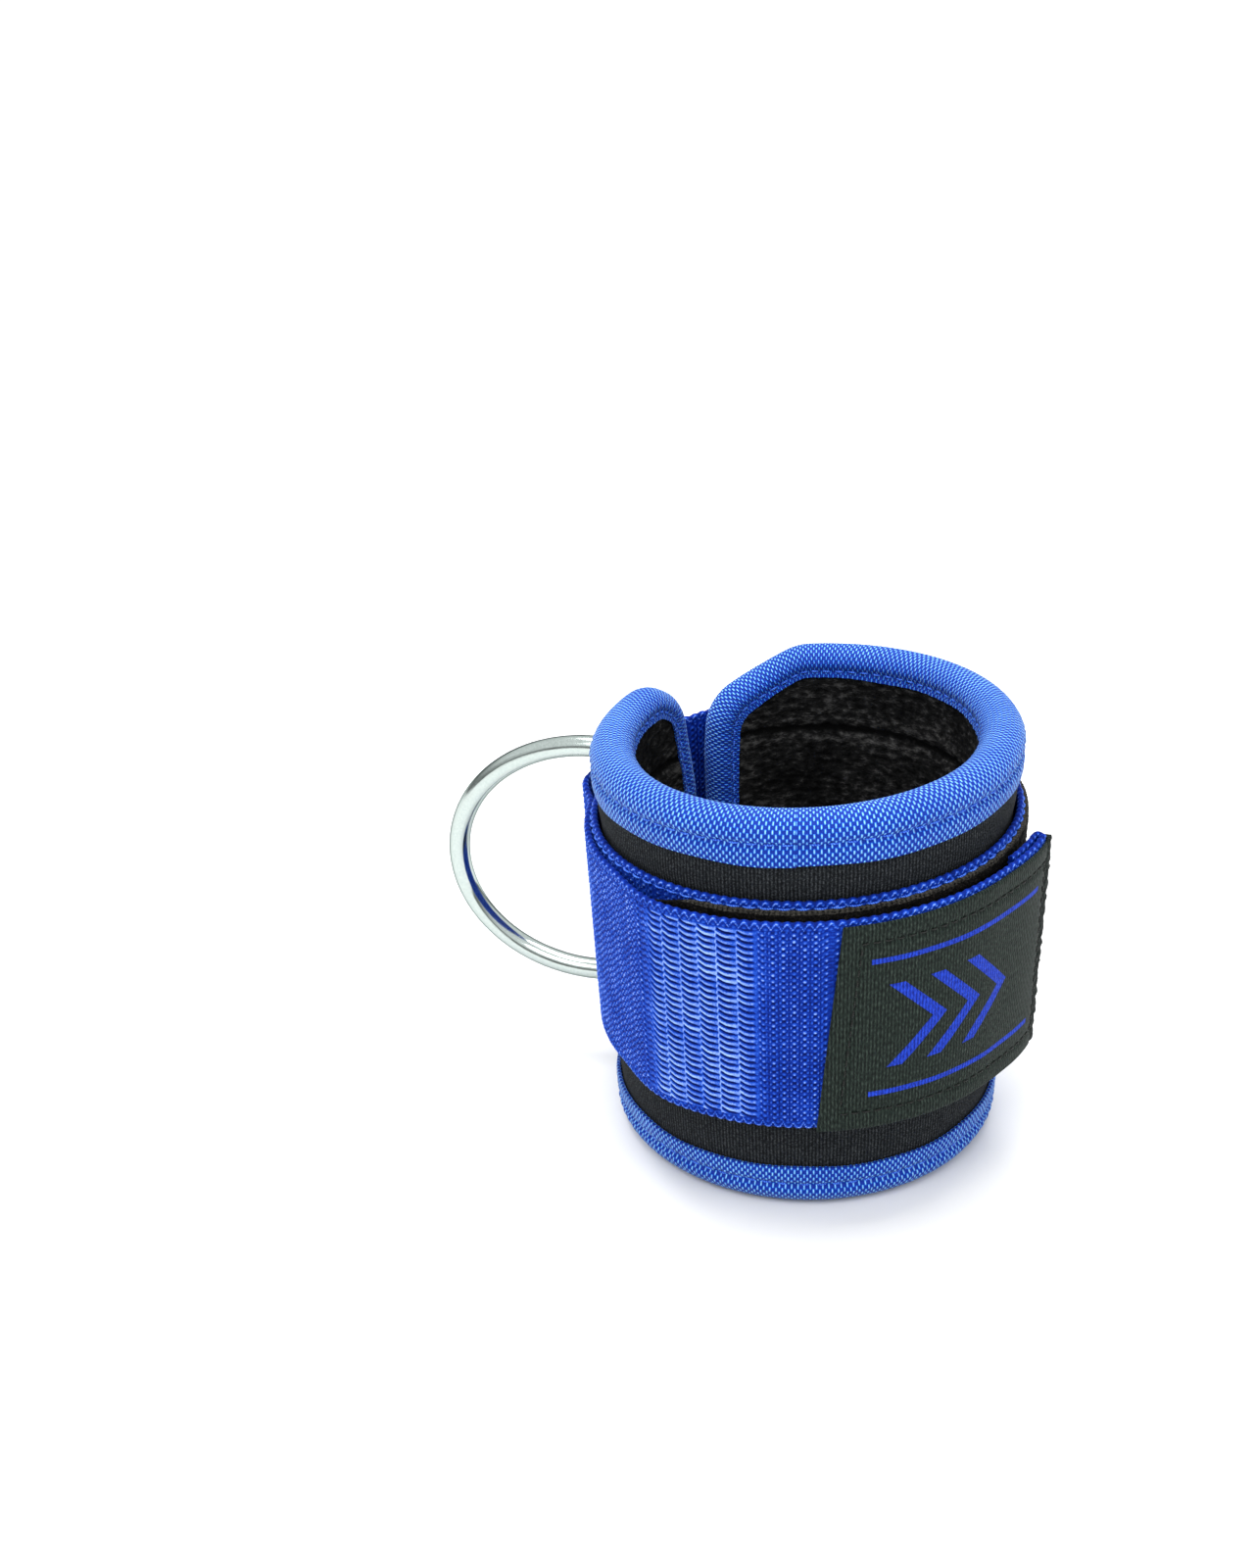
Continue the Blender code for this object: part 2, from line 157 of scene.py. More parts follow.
def smooth_steps(knots, value):
    """A line through knots, level at each of them, read at an array of values."""
    places, heights = np.array(knots, float).T
    value = np.clip(value, places[0], places[-1])
    i = np.clip(np.searchsorted(places, value, side="right") - 1, 0, len(places) - 2)
    share = (value - places[i]) / (places[i + 1] - places[i])
    return heights[i] + (heights[i + 1] - heights[i]) * share * share * (3 - 2 * share)


def smoothstep(low, high, value):
    """0 at low and 1 at high, whichever of them is larger."""
    share = np.clip((value - low) / (high - low), 0, 1)
    return share * share * (3 - 2 * share)


def fraction(value):
    return value - np.floor(value)


def running_length(*line):
    """Length so far at each point of a line given by its coordinates."""
    return np.concatenate([[0], np.cumsum(np.hypot(*map(np.diff, line)))])


def unit(vectors):
    return vectors / np.linalg.norm(vectors, axis=1)[:, None]


def samples(start, end, step):
    count = max(2, int(math.ceil(abs(end - start) / (step / DETAIL))) + 1)
    return np.linspace(start, end, count)


def rough(points, scale):
    """Smooth noise from -1 to 1 at points in metres, with features of a size in millimetres."""
    flat = points.reshape(-1, 3) / (scale * MM)
    values = [noise.noise(Vector(point)) for point in flat]
    return np.array(values).reshape(points.shape[:-1])


def unrolled(angle):
    """Millimetres along the unrolled wall at a plan angle."""
    return np.radians(angle) * FLAT_RADIUS


def in_plane(x, y):
    """Points in metres at x and y, at which the noise of a flat fabric is read."""
    return np.stack(np.broadcast_arrays(x, y, 0.0), axis=-1) * MM


def on_flat(angle, height):
    return in_plane(unrolled(angle), height)


def new_mesh(name, vertices, faces, uv=None, relief=None):
    mesh = bpy.data.meshes.new(name)
    mesh.from_pydata(vertices.tolist(), [], faces)
    if uv is not None:
        layer = mesh.uv_layers.new(name="flat")
        layer.data.foreach_set("uv", np.asarray(uv, np.float32).ravel())
    if relief is not None:
        attribute = mesh.attributes.new("relief", "FLOAT", "POINT")
        attribute.data.foreach_set("value", np.asarray(relief, np.float32).ravel())
    mesh.shade_smooth()
    return mesh


def add_piece(name, mesh):
    """Turns the faces of a closed mesh so that they look out, and adds it to the scene."""
    shape = bmesh.new()
    shape.from_mesh(mesh)
    bmesh.ops.recalc_face_normals(shape, faces=shape.faces)
    shape.to_mesh(mesh)
    shape.free()
    piece = bpy.data.objects.new(name, mesh)
    bpy.context.collection.objects.link(piece)
    return piece


def cells(rows, columns):
    """The row numbers and the column numbers of the four corners of each cell in a grid."""
    i, j = np.divmod(np.arange(rows * columns)[:, None], columns)
    return i + np.array([0, 1, 1, 0]), j + np.array([0, 0, 1, 1])


def uv_grid(along, across):
    return np.stack(np.meshgrid(along, across, indexing="ij"), axis=-1)


def swept(name, points, uv, relief=None, closed=False):
    """A closed body from n sections of k points each. uv has k + 1 entries for each section."""
    n, k = points.shape[:2]
    i, j = cells(n if closed else n - 1, k)
    faces = (i % n * k + j % k).tolist()
    corners = uv[i % n, j].reshape(-1, 2)
    if not closed:
        faces += [list(range(k)), list(range(n * k - 1, (n - 1) * k - 1, -1))]
        corners = np.concatenate([corners, uv[0, :k], uv[-1, k - 1::-1]])
    mesh = new_mesh(name, points.reshape(-1, 3), faces, corners, relief)
    piece = add_piece(name, mesh)
    mesh.set_sharp_from_angle(angle=math.radians(60))
    return piece


def place(piece, material, body=None, bend=None, nodes=()):
    """Gives a piece its material and its body; a piece in a bend only has its transform baked in,
    and the bend's bodies and zone are not used.
    """
    piece.data.materials.append(material)
    if bend:
        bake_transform(piece)
    else:
        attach(piece, body)
    if nodes:
        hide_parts(*nodes)
    return piece


# ---- the webbing's path

class RibbonPath:
    """The middle of a ribbon from above: plan angle, offset, length so far and outward side."""

    def __init__(self, angle, offset):
        reach = PATH_RADIUS + offset
        run = np.diff(np.radians(angle)) * (reach[1:] + reach[:-1]) / 2
        self.angle, self.offset, self.reach = angle, offset, reach
        self.length = np.concatenate([[0], np.cumsum(np.hypot(run, np.diff(offset)))])
        along = np.stack([np.gradient(np.radians(angle)) * reach, np.gradient(offset)], axis=-1)
        self.outward, self.across = unit(along).T * [[1], [-1]]

    def at(self, name, length):
        return np.interp(length, self.length, getattr(self, name))

    def length_at(self, angle):
        """Length at plan angles, on the way out to the fold at the ribbon's end."""
        out = int(np.argmax(self.angle)) + 1
        return np.interp(angle, self.angle[:out], self.length[:out])

    def place(self, length, height, out):
        """Points at lengths along the ribbon and heights, standing out from its middle."""
        turn = np.degrees(self.at("across", length) * out / self.at("reach", length))
        offset = self.at("offset", length) + self.at("outward", length) * out
        return wrap(self.at("angle", length) + turn, height, offset)


def webbing_path():
    """Once round the pad, off its end and over itself to the tip, round a fold and back."""
    sewn = np.linspace(WEBBING_START, BACK_END, 900)
    free = np.linspace(BACK_END, STRAP_END, 900)[1:]
    lift = np.concatenate([smooth_steps(WEBBING_LIFT, sewn), smooth_steps(STRAP_LIFT, free)])
    lift += WEBBING_HALF
    turn = np.linspace(0, math.pi, 14)[1:-1]
    fold_angle = STRAP_END + np.degrees(HEM_FOLD * np.sin(turn) / (PATH_RADIUS + lift[-1]))
    fold_lift = lift[-1] - HEM_FOLD + HEM_FOLD * np.cos(turn)
    back = np.linspace(STRAP_END, HEM_START, 120)
    back_lift = smooth_steps(STRAP_LIFT, back) + WEBBING_HALF - 2 * HEM_FOLD
    return RibbonPath(np.concatenate([sewn, free, fold_angle, back]),
                      np.concatenate([lift, fold_lift, back_lift]))


def label_path():
    """The strap's middle under the label, which goes straight on past the fold."""
    angle = np.linspace(LABEL_LEFT[0] - 5, LABEL_RIGHT + 3, 400)
    return RibbonPath(angle, smooth_steps(STRAP_LIFT, angle) + WEBBING_HALF)


def webbing_middle(angle):
    return smooth_steps(WEBBING_HEIGHTS, angle)


# ---- the webbing's weave

ROW = 1.53                      # height of one warp float
COLUMN = 4.15                   # length of one float where the weave has opened
WEAVE_RISE = 0.6
OPEN_SPAN = (586.0, 595.0, 615.0, 624.0)    # plan angles where the weave has opened under load
SCALLOP = 2.1                   # pitch of the chain of loops along the selvage
SCALLOP_RISE = 0.30
SELVAGE = 1.9                   # width of that chain


def jitter(first, second):
    """A number from -1 to 1 that differs from cell to cell of a weave."""
    return 2 * fraction(np.sin(first * 12.9898 + second * 78.233) * 43758.5453) - 1


def open_weave(length, height):
    """Floats that hang like garlands from weft line to weft line, with crescent gaps below."""
    share = fraction(length / COLUMN)
    column = np.floor(length / COLUMN)
    hang = np.sin(np.minimum(share / 0.55, 1) * math.pi / 2)
    drop = ROW * (0.66 + 0.08 * np.sin(column * 2.4)) * hang
    row = (height + drop + 0.13 * column) / ROW
    across = fraction(row) - 0.5
    half = 0.33 + 0.16 * smoothstep(0.62, 0.90, share)
    shade = 0.86 + 0.08 * jitter(column, np.floor(row)) - 0.12 * smoothstep(0.5, 0.9, share)
    body = np.clip(1 - (across / half) ** 4, 0, 1) * shade
    line = np.exp(-(np.minimum(share, 1 - share) * COLUMN / 0.20) ** 2)
    knot = 0.82 + 0.18 * np.cos(2 * math.pi * (height + 0.13 * column) / ROW)
    return np.maximum(body, line * knot)


def tight_weave(length, height):
    """Knuckles of the warp in columns, with pairs of small weft loops between them."""
    column = np.floor(length / (COLUMN / 2))
    x = (fraction(length / (COLUMN / 2)) - 0.5) * COLUMN / 2
    slip = 0.16 * np.sin(column * 1.7) * ROW
    y = (fraction((height + slip) / ROW) - 0.5) * ROW
    knuckle = 1.05 * np.exp(-(x / 0.48) ** 2 - (y / 0.44) ** 2)
    knuckle = knuckle * (0.86 + 0.14 * jitter(column, np.floor((height + slip) / ROW)))
    x2 = COLUMN / 4 - np.abs(x)
    y2 = (fraction((height + slip) / ROW + 0.5) - 0.5) * ROW
    loops = 0.95 * np.exp(-((x2 - 0.38) / 0.24) ** 2 - (y2 / 0.40) ** 2)
    rib = 0.34 * np.exp(-(y / 0.5) ** 2)
    return np.maximum(np.maximum(knuckle, loops), rib)


def weave(length, height, angle):
    """Relief of the webbing's face from 0 to 1."""
    opened = smoothstep(*OPEN_SPAN[:2], angle) * (1 - smoothstep(*OPEN_SPAN[2:], angle))
    return opened * open_weave(length, height) + (1 - opened) * tight_weave(length, height)


def selvage_chain(along, inset):
    """Relief of the chain of small arched loops along an edge, at distances in from it."""
    share = 2 * fraction(along / SCALLOP) - 1
    arch = np.exp(-((inset - 0.35 - 1.25 * share ** 2) / 0.26) ** 2)
    eye = 0.75 * np.exp(-((inset - 1.55) / 0.25) ** 2 - (share / 0.35) ** 2)
    return 0.22 + 0.66 * np.maximum(arch, eye)


def ribbon_heights(face_step, middle_step):
    """Heights up a ribbon's face, closer together along the two selvages."""
    flat = WEBBING_WIDTH / 2 - WEBBING_HALF
    inside = WEBBING_WIDTH / 2 - SELVAGE - 0.4
    edge = samples(inside, flat, face_step)
    return np.concatenate([-edge[::-1], samples(-inside, inside, middle_step)[1:-1], edge])


def ribbon(name, path, span, middle_step=0.24, length_step=0.36):
    """A length of webbing from span[0] to span[1] millimetres along its path."""
    length = samples(*span, length_step)
    outer = ribbon_heights(0.24, middle_step)
    flat = outer[-1]
    edge = np.linspace(0, math.pi, 7)[1:-1]
    inner = samples(flat, -flat, max(middle_step, 0.4))
    round_up = flat + WEBBING_HALF * np.sin(edge)
    round_out = WEBBING_HALF * np.cos(edge)
    height = np.concatenate([outer, round_up, inner, -round_up])
    out = np.concatenate([np.full_like(outer, WEBBING_HALF), round_out,
                          np.full_like(inner, -WEBBING_HALF), -round_out])
    face = np.sign(out) * (np.abs(height) <= flat)
    along, up = np.meshgrid(length, height, indexing="ij")
    angle = path.at("angle", along)
    inset = WEBBING_WIDTH / 2 - np.abs(up)
    near_edge = smoothstep(SELVAGE + 0.3, SELVAGE - 0.2, inset)
    relief = weave(along, up, angle) * (1 - near_edge) + near_edge * selvage_chain(along, inset)
    stand = out + face * (relief - 0.6) * WEAVE_RISE
    loops = np.abs(np.sin(math.pi * along / SCALLOP)) - 0.6
    tall = up + np.sign(up) * smoothstep(SELVAGE, 0.0, inset) * loops * SCALLOP_RISE
    points = path.place(along, webbing_middle(angle) + tall, stand)
    spread = running_length(height, out)
    return swept(name, points, uv_grid(length, np.append(spread, spread[-1] + 0.3)), relief)


# ---- bands, rims, stitches and wire

def layer(name, span, limits, outer, inner, steps, relief=None):
    """A wrapped layer between two faces, each a function of angle and height."""
    angle = samples(*span, math.degrees(steps[0] / FLAT_RADIUS))
    low, high = limits(angle)
    rows = max(4, int(math.ceil(float(np.max(high - low)) / (steps[1] / DETAIL))))
    share = np.linspace(0, 1, rows + 1)
    height = low[:, None] + (high - low)[:, None] * share
    wide = np.broadcast_to(angle[:, None], height.shape)
    faces = [wrap(wide, height, face(wide, height)) for face in (outer, inner)]
    points = np.concatenate([faces[0], faces[1][:, ::-1]], axis=1)
    along = unrolled(angle)[:, None]
    across = np.concatenate([height, height[:, ::-1], height[:, :1]], axis=1)
    uv = np.stack(np.broadcast_arrays(along, across), axis=-1)
    return swept(name, points, uv, relief)


def pad_limits(inset):
    """Lower and upper edge of a pad layer that stops an inset inside the pad's outline."""
    def limits(angle):
        edge = np.full_like(angle, inset)
        for half, from_end in (("front", angle - FRONT_END), ("back", BACK_END - angle)):
            along = unrolled(from_end)
            for (far, low), (near, high) in zip(CORNER_CUTS[half], CORNER_CUTS[half][1:]):
                slope = (high - low) / (far - near)
                edge = np.maximum(edge, low + slope * (far - along) + inset * math.hypot(1, slope))
        return edge, RIM_HEIGHT - edge
    return limits


def level_limits(middle, width):
    low, high = middle - width / 2, middle + width / 2
    return lambda angle: (np.full_like(angle, low), np.full_like(angle, high))


def outline():
    """The pad's whole outline on the flat: lengths from its front end and heights."""
    length = unrolled(BACK_END - FRONT_END)
    front, back = CORNER_CUTS["front"], CORNER_CUTS["back"]
    corners = [(along, RIM_HEIGHT - down) for along, down in front]
    corners += [(along, down) for along, down in reversed(front)]
    corners += [(length - along, down) for along, down in back]
    corners += [(length - along, RIM_HEIGHT - down) for along, down in reversed(back)]
    corners = [Vector(corner) for corner in corners]
    path = []
    for i, corner in enumerate(corners):
        behind = (corners[i - 1] - corner).normalized()
        ahead = (corners[(i + 1) % len(corners)] - corner).normalized()
        half = behind.angle(ahead) / 2
        centre = corner + (behind + ahead).normalized() * CORNER_BEND / math.sin(half)
        start = corner + behind * CORNER_BEND / math.tan(half) - centre
        turn = math.copysign(math.pi - 2 * half, ahead.cross(behind))
        path += [tuple(centre + Matrix.Rotation(turn * k / 16, 2) @ start) for k in range(17)]
    path.append(path[0])
    return np.array(path)


class Edge:
    """Places by the pad's bound edge: a distance along it, a depth in from it and an offset."""

    def __init__(self):
        knots = outline()
        run = running_length(*knots.T)
        self.total = run[-1]
        self.run = np.linspace(0, self.total, 3000)
        self.x = np.interp(self.run, run, knots[:, 0])
        self.y = np.interp(self.run, run, knots[:, 1])
        step = self.run[1]
        turn_x, turn_y = (self.evened(np.gradient(line, step)) for line in (self.x, self.y))
        size = np.hypot(turn_x, turn_y)
        self.in_x, self.in_y = -turn_y / size, turn_x / size

    @staticmethod
    def evened(line, reach=26):
        """A running mean round the closed edge."""
        looped = np.concatenate([line[-reach - 1:-1], line, line[1:reach + 1]])
        return np.convolve(looped, np.full(2 * reach + 1, 1 / (2 * reach + 1)), mode="valid")

    def distance_at(self, angle, top):
        """Distance along the edge to a plan angle, on the top or the bottom rim."""
        x = unrolled(angle - FRONT_END)
        level = self.y > RIM_HEIGHT - 0.1 if top else self.y < 0.1
        order = np.argsort(self.x[level])
        return float(np.interp(x, self.x[level][order], self.run[level][order]))

    def place(self, distance, depth, offset):
        distance = distance % self.total
        x, y, in_x, in_y = (np.interp(distance, self.run, line)
                            for line in (self.x, self.y, self.in_x, self.in_y))
        x, y = x + in_x * depth, y + in_y * depth
        return wrap(FRONT_END + np.degrees(x / FLAT_RADIUS), y, offset)


def binding_section():
    """Depth, offset, side and developed length of the folded tape's middle, from outside in."""
    edge_reach = BINDING_ROLL + BINDING_TAPE / 2
    turn = np.radians(np.linspace(0, 180, 27))
    outer = samples(BINDING_FLANGES["outer"], edge_reach, 0.42)[:-1]
    inner = samples(edge_reach, BINDING_FLANGES["inner"], 0.42)[1:]
    depth = np.concatenate([outer, edge_reach - BINDING_ROLL * np.sin(turn), inner])
    offset = np.concatenate([np.full_like(outer, BINDING_ROLL), BINDING_ROLL * np.cos(turn),
                             np.full_like(inner, -BINDING_ROLL)])
    away = unit(np.stack([np.minimum(depth - edge_reach, 0), offset], axis=-1))
    return depth, offset, away, running_length(depth, offset)


def sink(distance, depth, offset):
    """How far the stitching pulls the binding in, at a place on the folded tape."""
    pucker = np.cos(2 * math.pi * distance / BINDING_STITCH[0])
    dent = np.zeros_like(distance)
    for side, (line, deep) in GROOVES.items():
        flange = BINDING_FLANGES[side]
        on_side = offset > 0 if side == "outer" else offset < 0
        groove = deep * np.exp(-((depth - line) / GROOVE_WIDTH) ** 2) * (0.86 + 0.14 * pucker)
        bulge = sum(tall * pucker * np.exp(-((depth - line - off) / wide) ** 2)
                    for off, tall, wide in GROOVE_BULGES)
        lip = smoothstep(flange - 0.9, flange, depth) * 0.22
        dent = dent + np.where(on_side, groove + bulge + lip, 0.0)
    return dent


def binding(name, edge, span):
    """The tape folded over the pad's edge from span[0] to span[1] millimetres along it."""
    distance = samples(*span, 0.55)
    depth, offset, away, spread = binding_section()
    along, down = np.meshgrid(distance, depth, indexing="ij")
    out = np.broadcast_to(offset, along.shape)
    dent = sink(along, down, out)
    flange = np.where(out > 0, BINDING_FLANGES["outer"], BINDING_FLANGES["inner"])
    waver = np.sin(along / 7.3) * 0.18 + np.sin(along / 3.1 + 1.0) * 0.10
    ragged = smoothstep(flange - 1.6, flange, down) * waver
    faces = []
    for half in (BINDING_TAPE / 2, -BINDING_TAPE / 2):
        shift = half - dent
        deep, lift = down + ragged + away[:, 0] * shift, out + away[:, 1] * shift
        faces.append(edge.place(along, deep, lift))
    around = np.concatenate([spread, spread[-1] + 0.7 + spread, [2 * spread[-1] + 1.4]])
    points = np.concatenate([faces[0], faces[1][:, ::-1]], axis=1)
    return swept(name, points, uv_grid(distance, around))


def stitch_run(name, place_on, first, last, stitch):
    """Separate stitches, each a short arched thread. place_on(distance, out) gives points."""
    pitch, length, thickness = stitch
    sides, joints = 6, 7
    turn = np.linspace(0, 2 * math.pi, sides, endpoint=False)
    share = np.linspace(0, 1, joints)
    i, j = cells(joints - 1, sides)
    caps = np.array([range(sides - 1, -1, -1), range((joints - 1) * sides, joints * sides)])
    vertices, faces, uv = [], [], []
    for start in np.arange(first, last - length, pitch):
        along = start + length * share
        arch = thickness * (0.9 * np.sin(math.pi * share) ** 0.6 - 0.55)
        spine = place_on(along, arch)
        ahead = np.gradient(spine, axis=0)
        side = unit(np.cross(ahead, place_on(along, arch + 1.0) - spine))
        lift = unit(np.cross(side, ahead))
        girth = thickness / 2 * MM * np.sin(math.pi * (0.12 + 0.76 * share)) ** 0.5
        ring = np.cos(turn)[:, None] * side[:, None] + np.sin(turn)[:, None] * lift[:, None]
        tube = spine[:, None] + ring * girth[:, None, None]
        base = len(vertices)
        vertices.extend(tube.reshape(-1, 3).tolist())
        faces += (base + i * sides + j % sides).tolist() + (base + caps).tolist()
        uv.extend(zip(along[i].ravel(), (0.2 * j).ravel()))
        uv.extend([(start, 0)] * (2 * sides))
    return add_piece(name, new_mesh(name, np.array(vertices), faces, np.array(uv)))


# ---- materials

class Signal:
    """An output in a material's node tree. Arithmetic with it adds Math nodes to the tree."""

    def __init__(self, nodes, socket):
        self.nodes, self.socket = nodes, socket

    def math(self, operation, *others):
        return self.nodes.add("Math", dict(enumerate((self, *others))), operation=operation)

    def __rsub__(self, other):
        return self.math("MULTIPLY_ADD", -1.0, other)

    def at_least(self, other):
        return self.math("MAXIMUM", other)

    def wave(self, pitch, shift=0.0):
        """A sine with a pitch."""
        return self.math("MULTIPLY_ADD", 2 * math.pi / pitch, shift).math("SINE")

    def peak(self, centre, reach, height):
        """A straight-sided peak of a height, over a reach to either side of a centre."""
        return (abs(self - centre) * (-height / reach) + height).at_least(0.0)


OPERATORS = {"add": "ADD", "sub": "SUBTRACT", "mul": "MULTIPLY", "truediv": "DIVIDE",
             "pow": "POWER", "abs": "ABSOLUTE", "lt": "LESS_THAN", "gt": "GREATER_THAN"}

for operator, operation in OPERATORS.items():
    setattr(Signal, f"__{operator}__", partialmethod(Signal.math, operation))


class Nodes:
    """Short ways to add and join shader nodes in one material."""

    def __init__(self, name):
        self.material = bpy.data.materials.new(name)
        self.material.use_nodes = True
        self.tree = self.material.node_tree
        self.shader = self.tree.nodes["Principled BSDF"]

    def feed(self, socket, value):
        if isinstance(value, Signal):
            self.tree.links.new(value.socket, socket)
        else:
            socket.default_value = value

    def add(self, kind, inputs=None, output=0, **settings):
        """A new node with its settings and inputs, as the Signal of one of its outputs."""
        node = self.tree.nodes.new(f"ShaderNode{kind}")
        for name, value in settings.items():
            setattr(node, name, value)
        for socket, value in (inputs or {}).items():
            self.feed(node.inputs[socket], value)
        return Signal(self, node.outputs[output])

    def flat(self):
        """Length along the piece and distance across it, both in millimetres."""
        along = self.add("SeparateXYZ", {0: self.add("UVMap", uv_map="flat")})
        return along, Signal(self, along.socket.node.outputs[1])

    def noise(self, scale_mm, detail=2.0, where=None):
        """Noise at a place on the object, which doesn't move with the camera, or at a Signal."""
        where = where or self.add("TexCoord", output="Object")
        inputs = {"Scale": 1 / (scale_mm * MM), "Detail": detail, "Vector": where}
        return self.add("TexNoise", inputs)

    def flat_noise(self, along_mm, across_mm, detail=2.0):
        """Noise on the unrolled piece, with features of one size along it and another across it."""
        along, across = self.flat()
        places = {0: along / (along_mm * 1000), 1: across / (across_mm * 1000)}
        return self.noise(1.0, detail, self.add("CombineXYZ", places))

    def ramp(self, factor, *stops):
        """A colour between stops, each a place from 0 to 1 and a colour from 0 to 255."""
        ramp = self.add("ValToRGB", {0: factor})
        set_stops(ramp.socket.node, [(at, srgb(*colour)) for at, colour in stops])
        return ramp

    def mix(self, factor, first, second):
        return self.add("Mix", {0: factor, 6: first, 7: second}, output=2, data_type="RGBA")

    def bump(self, height, distance_mm, below=None):
        inputs = {"Strength": 1.0, "Distance": distance_mm * MM, "Height": height}
        if below is not None:
            inputs["Normal"] = below
        return self.add("Bump", inputs)

    def finish(self, colour, roughness, normal=None, shine=0.5, **others):
        """The finished material. The shine is a specular level, and others are inputs by name."""
        inputs = {"Base Color": colour, "Roughness": roughness, "Specular IOR Level": shine}
        if normal is not None:
            inputs["Normal"] = normal
        inputs.update({socket.replace("_", " "): value for socket, value in others.items()})
        for socket, value in inputs.items():
            self.feed(self.shader.inputs[socket], value)
        return self.material


def set_stops(node, stops):
    """Gives a colour ramp its stops, each a place and a linear colour."""
    elements = node.color_ramp.elements
    while len(elements) < len(stops):
        elements.new(0.5)
    for element, (at, colour) in zip(elements, stops):
        element.position = at
        element.color = (*colour, 1)


def srgb(red, green, blue):
    """Linear colour from 0 to 255 values."""
    return tuple(((c / 255 + 0.055) / 1.055) ** 2.4 if c > 10 else c / 255 / 12.92
                 for c in (red, green, blue))


# In the calls below, sizes of noises and waves and depths of bumps are in millimetres, and a ramp's
# stops have places from 0 to 1 and colours from 0 to 255.

BINDING_ROW = 0.62              # pitch of the rows of floats, along the tape
BINDING_FLOAT = 1.7             # length of a float with the gap after it
BINDING_INSIDE_PAINTED_SHADE = (15.5, 19.0)   # across the tape, where it turns in, over which its blue is darkened as painted shade


def binding_material():
    """Oxford-woven tape: short bright bars in rows, each row staggered by half a bar; the bars'
    crowns are painted highlights and the gaps between them painted shade.
    """
    n = Nodes("binding_weave")
    along, across = n.flat()
    row = along / BINDING_ROW
    stagger = row.math("FLOOR").math("PINGPONG", 1.0) * 0.5
    cell = (across / BINDING_FLOAT + stagger).math("FRACT")
    crown = (row.math("FRACT") * math.pi).math("SINE")
    bar = 1 - (abs(cell - 0.5) / 0.33) ** 4.0
    height = crown ** 1.3 * bar.at_least(0.0)
    fibres = n.noise(0.35, 1.0)
    tone = height + (fibres - 0.5) * 0.4 + (n.noise(14.0, 2.0) - 0.5) * 0.25
    # Painted shade: the blue darkens across the inner side of the tape, where it turns in.
    inside = (across - BINDING_INSIDE_PAINTED_SHADE[0]) / (BINDING_INSIDE_PAINTED_SHADE[1] - BINDING_INSIDE_PAINTED_SHADE[0])
    tone = tone - inside.at_least(0.0).math("MINIMUM", 1.0) * 0.24
    # The ramp turns the float height into painted highlights on the crowns and painted shade in the
    # gaps.
    colour = n.ramp(tone, (0.05, (0, 38, 138)), (0.32, (0, 72, 204)),
                    (0.66, (40, 124, 220)), (1.0, (142, 202, 242)))
    return n.finish(colour, 0.6, n.bump(height + fibres * 0.3, 0.35), shine=0.15,
                    Sheen_Weight=0.2, Sheen_Roughness=0.35, Sheen_Tint=(0.62, 0.86, 1.0, 1.0))


def webbing_material():
    """Polyester webbing: painted shade between the floats and painted highlights on their crowns,
    with frayed paler lines.
    """
    n = Nodes("webbing_weave")
    along, across = n.flat()
    strands = (across + along * 0.45).wave(0.2992)
    fibres = n.noise(0.3, 2.0)
    relief = n.add("Attribute", output="Fac", attribute_name="relief")
    tone = relief + (fibres - 0.5) * 0.45 + (n.noise(9.0, 2.0) - 0.5) * 0.3
    # The relief sets the colour: painted shade in the hollows of the weave, painted highlights on
    # its crowns.
    colour = n.ramp(tone + strands * 0.05, (0.10, (0, 16, 80)), (0.36, (5, 44, 150)),
                    (0.66, (36, 86, 202)), (1.0, (160, 192, 244)))
    return n.finish(colour, 0.6, n.bump(strands * 0.25 + fibres, 0.12), shine=0.08)


def jersey_material():
    """Black jersey with fine ribs up and down."""
    n = Nodes("ribbed_jersey")
    along, across = n.flat()
    rib = along.wave(0.7, n.noise(3.0, 1.0) * 1.2)
    colour = n.ramp(rib * 0.12 + n.noise(0.35, 2.0),
                    (0.32, (9, 10, 12)), (0.55, (30, 33, 36)), (0.82, (68, 71, 73)))
    normal = n.bump(rib * 0.5 + across.wave(0.8) * 0.12, 0.12)
    return n.finish(colour, 0.85, normal, shine=0.06)


def plush_material():
    """Short looped pile brushed one way: dark, with paler tips where the tufts stand up."""
    n = Nodes("plush_pile")
    tuft = n.flat_noise(2.4, 1.2, 3.0)
    hair = n.flat_noise(0.8, 0.28, 2.0)
    tone = tuft + (hair - 0.5) * 0.45 + (n.noise(11.0, 2.0) - 0.5) * 0.5
    # Painted shade darkens the quilting groove, and painted highlights lighten the puffs either
    # side of it.
    across, row = n.flat()[1], QUILTING[0]
    tone = tone - across.peak(row, 1.0, 0.35) + across.peak(row - 2.4, 2.0, 0.14)
    tone = tone + across.peak(row + 2.4, 2.0, 0.08)
    colour = n.ramp(tone, (0.34, (6, 6, 6)), (0.56, (24, 24, 24)), (0.90, (78, 77, 76)))
    normal = n.bump(hair, 0.25, below=n.bump(tuft, 0.6))
    return n.finish(colour, 0.95, normal, shine=0.05)


